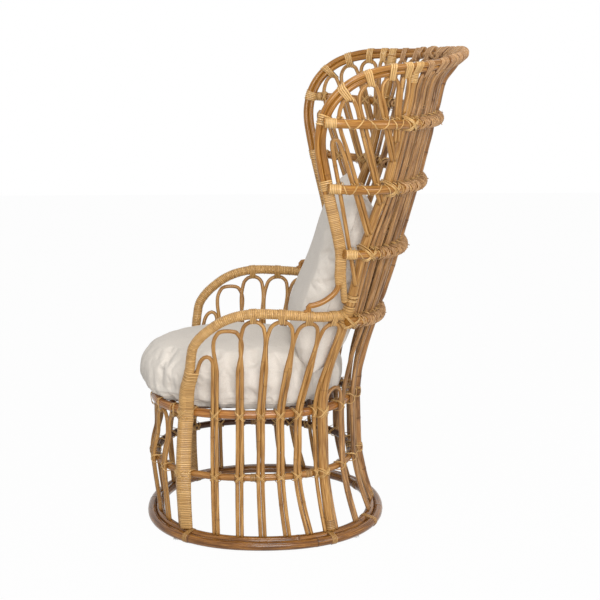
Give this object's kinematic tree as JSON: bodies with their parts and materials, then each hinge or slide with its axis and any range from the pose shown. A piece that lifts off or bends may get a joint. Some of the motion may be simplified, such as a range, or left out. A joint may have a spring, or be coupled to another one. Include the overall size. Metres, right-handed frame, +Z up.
{
  "type": "peacock chair",
  "caption": "Rattan peacock chair: bent hairpin poles on a round ring base, hoop arms, a tall flared back with wings, and loose linen seat and back cushions.",
  "frame": {"origin": "floor level, under the middle of the bounding box of the whole chair", "axes": "+Z up, the sitter faces -Y, the sitter's left arm is on +X"},
  "size_m": [0.7948, 0.8884, 1.2976],
  "materials": {
    "natural_rattan": "satin lacquer over natural rattan bark",
    "stained_rattan": "satin lacquer over reddish brown rattan",
    "wrapped_cane": "satin cane strands wound close together",
    "linen": "matte plain woven linen",
    "clear_glide": "clear soft plastic"
  },
  "bodies": {
    "root": {"floor_ring_outer": "stained_rattan", "floor_ring_inner": "stained_rattan", "mid_ring": "stained_rattan", "seat_ring": "stained_rattan", "glide_rear_left": "clear_glide", "glide_rear_right": "clear_glide", "glide_front_left": "clear_glide", "glide_front_right": "clear_glide", "arm_left": "wrapped_cane", "arm_right": "wrapped_cane", "back_pole_left": "natural_rattan", "back_pole_right": "natural_rattan", "rim_outer": "natural_rattan", "rim_inner": "natural_rattan", "hoop_arm": "natural_rattan", "hoop_low": "natural_rattan", "hoop_middle": "natural_rattan", "hoop_high": "natural_rattan", "rear_pole": "natural_rattan", "arm_hairpin_left_1": "natural_rattan", "arm_hairpin_right_1": "natural_rattan", "arm_hairpin_left_2": "natural_rattan", "arm_hairpin_right_2": "natural_rattan", "arm_hairpin_left_3": "natural_rattan", "arm_hairpin_right_3": "natural_rattan", "arm_hairpin_left_4": "natural_rattan", "arm_hairpin_right_4": "natural_rattan", "arm_hairpin_left_5": "natural_rattan", "arm_hairpin_right_5": "natural_rattan", "arm_hairpin_left_6": "natural_rattan", "arm_hairpin_right_6": "natural_rattan", "wing_hairpin_left_1": "natural_rattan", "wing_hairpin_right_1": "natural_rattan", "wing_hairpin_left_2": "natural_rattan", "wing_hairpin_right_2": "natural_rattan", "wing_hairpin_left_3": "natural_rattan", "wing_hairpin_right_3": "natural_rattan", "wing_hairpin_left_4": "natural_rattan", "wing_hairpin_right_4": "natural_rattan", "wing_hairpin_left_5": "natural_rattan", "wing_hairpin_right_5": "natural_rattan", "back_hairpin_1": "natural_rattan", "back_hairpin_2": "natural_rattan", "back_hairpin_3": "natural_rattan", "back_hairpin_4": "natural_rattan", "back_hairpin_5": "natural_rattan", "back_hairpin_6": "natural_rattan", "back_hairpin_7": "natural_rattan", "back_hairpin_8": "natural_rattan", "back_hairpin_9": "natural_rattan", "back_hairpin_10": "natural_rattan", "back_hairpin_11": "natural_rattan", "back_hairpin_12": "natural_rattan", "rear_hairpin_left": "natural_rattan", "rear_hairpin_right": "natural_rattan", "front_skirt": "natural_rattan", "seat_deck": "natural_rattan", "seat_cushion": "linen", "back_cushion": "linen"}
  },
  "joints": []
}
